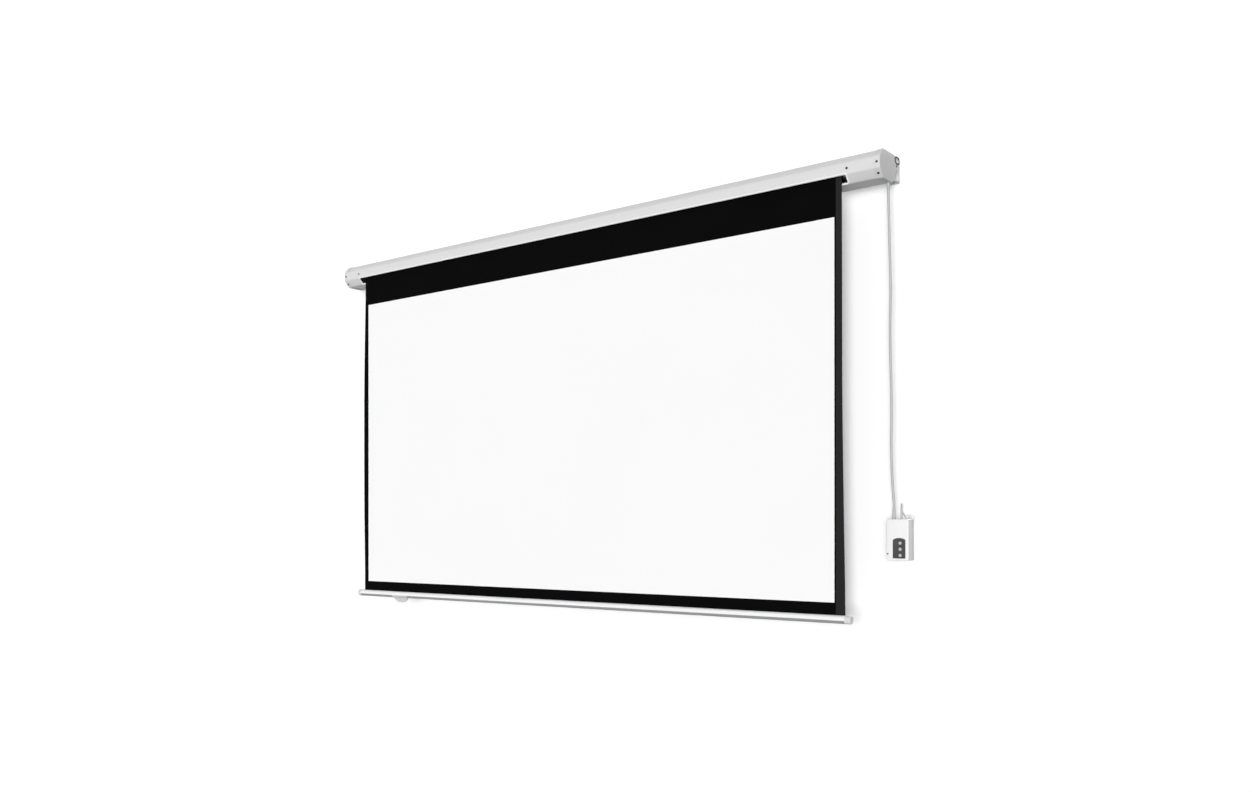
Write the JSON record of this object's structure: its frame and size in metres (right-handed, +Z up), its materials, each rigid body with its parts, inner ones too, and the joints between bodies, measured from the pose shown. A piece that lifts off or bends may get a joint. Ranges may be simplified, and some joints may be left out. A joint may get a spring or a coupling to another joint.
{
  "type": "motorized projector screen",
  "caption": "Wall-mounted motorized projection screen: bevelled white housing, black-bordered white cloth, round bottom bar and a wired control box on its lead.",
  "frame": {"origin": "middle of the left-hand (idler end) wall bracket's face on the wall, at the height of the roller's axis", "axes": "+X along the screen towards the motor end, +Y into the wall, +Z up; the picture side faces -Y"},
  "size_m": [2.5725, 0.1632, 1.5241],
  "materials": {
    "housing_paint": "satin white powder coat on folded steel",
    "screen_cloth_black": "matt black coated glass-fibre cloth",
    "viewing_white": "matt white PVC projection surface",
    "roller_aluminium": "mill finish extruded tube",
    "zinc_steel": "zinc-plated steel",
    "dark_plastic": "matt black moulded nylon",
    "grey_plastic": "matt light grey moulding",
    "white_plastic": "semi-gloss white ABS",
    "red_plastic": "matt red nylon",
    "lead_jacket": "light grey PVC cord jacket",
    "circuit_board": "green solder mask on glass-fibre board",
    "brass": "nickel-brass plug pins"
  },
  "bodies": {
    "housing": {"housing_shell": "housing_paint", "idler_end_cap": "housing_paint", "idler_cap_screw_front": "zinc_steel", "idler_cap_screw_slant": "zinc_steel", "idler_roller_plate": "zinc_steel", "idler_plate_screw": "zinc_steel", "idler_wall_bracket": "housing_paint", "idler_hanger_screw_1": "zinc_steel", "idler_hanger_screw_2": "zinc_steel", "idler_wall_screw_1": "zinc_steel", "idler_wall_screw_2": "zinc_steel", "motor_end_cap": "housing_paint", "motor_cap_screw_front": "zinc_steel", "motor_cap_screw_slant": "zinc_steel", "motor_roller_plate": "zinc_steel", "motor_plate_screw": "zinc_steel", "motor_wall_bracket": "housing_paint", "motor_hanger_screw_1": "zinc_steel", "motor_hanger_screw_2": "zinc_steel", "motor_wall_screw_1": "zinc_steel", "motor_wall_screw_2": "zinc_steel", "motor_tube": "zinc_steel", "motor_head": "dark_plastic", "idler_bush": "dark_plastic", "screen_cloth": "screen_cloth_black", "viewing_surface": "viewing_white", "cable_gland": "grey_plastic", "motor_lead": "lead_jacket", "control_box_front": "white_plastic", "control_box_back": "white_plastic", "case_screw": "zinc_steel", "keypad_panel": "dark_plastic", "circuit_board": "circuit_board", "relay": "dark_plastic", "terminal_block": "grey_plastic", "motor_boot": "grey_plastic", "mains_boot": "grey_plastic", "mains_lead": "lead_jacket", "mains_hank": "lead_jacket", "hank_tie": "dark_plastic", "plug_body": "white_plastic", "plug_prong_left": "brass", "plug_prong_right": "brass"},
    "roller": {"roller_tube": "roller_aluminium", "cloth_winding": "screen_cloth_black", "motor_crown_ring": "dark_plastic", "drive_wheel": "dark_plastic", "motor_shaft": "zinc_steel", "idler_plug": "grey_plastic", "idler_pin": "zinc_steel"},
    "lower_bar": {"bottom_bar": "housing_paint", "hem_spline": "grey_plastic", "bar_cap_left": "grey_plastic", "bar_cap_right": "grey_plastic", "pull_tab": "grey_plastic"},
    "button_up": {"button_up": "grey_plastic"},
    "button_stop": {"button_stop": "grey_plastic"},
    "button_down": {"button_down": "grey_plastic"},
    "limit_screw_up": {"limit_screw_up": "white_plastic"},
    "limit_screw_down": {"limit_screw_down": "red_plastic"}
  },
  "joints": [
    {"name": "roller_turn", "type": "hinge", "parent": "housing", "child": "roller", "pos_m": [1.233, -0.11595, 0], "axis": [1, 0, 0], "range_deg": [-2916.5, 0]},
    {"name": "screen_travel", "type": "slide", "parent": "housing", "child": "lower_bar", "axis": [0, 0, 1], "range_m": [0, 1.377], "deforming": ["screen_cloth", "viewing_surface"]},
    {"name": "press_up", "type": "slide", "parent": "housing", "child": "button_up", "axis": [0, 1, 0], "range_m": [0, 0.0012], "stiffness_N_per_m": 400},
    {"name": "press_stop", "type": "slide", "parent": "housing", "child": "button_stop", "axis": [0, 1, 0], "range_m": [0, 0.0012], "stiffness_N_per_m": 400},
    {"name": "press_down", "type": "slide", "parent": "housing", "child": "button_down", "axis": [0, 1, 0], "range_m": [0, 0.0012], "stiffness_N_per_m": 400},
    {"name": "limit_up_turn", "type": "hinge", "parent": "housing", "child": "limit_screw_up", "pos_m": [2.3926, -0.12345, -0.014], "axis": [1, 0, 0], "range_deg": [-1080, 1080]},
    {"name": "limit_down_turn", "type": "hinge", "parent": "housing", "child": "limit_screw_down", "pos_m": [2.3926, -0.10845, -0.014], "axis": [1, 0, 0], "range_deg": [-1080, 1080]}
  ],
  "couplings": [
    {"joint": "screen_travel", "follows": "roller_turn", "m_per_rad": -0.02705}
  ]
}
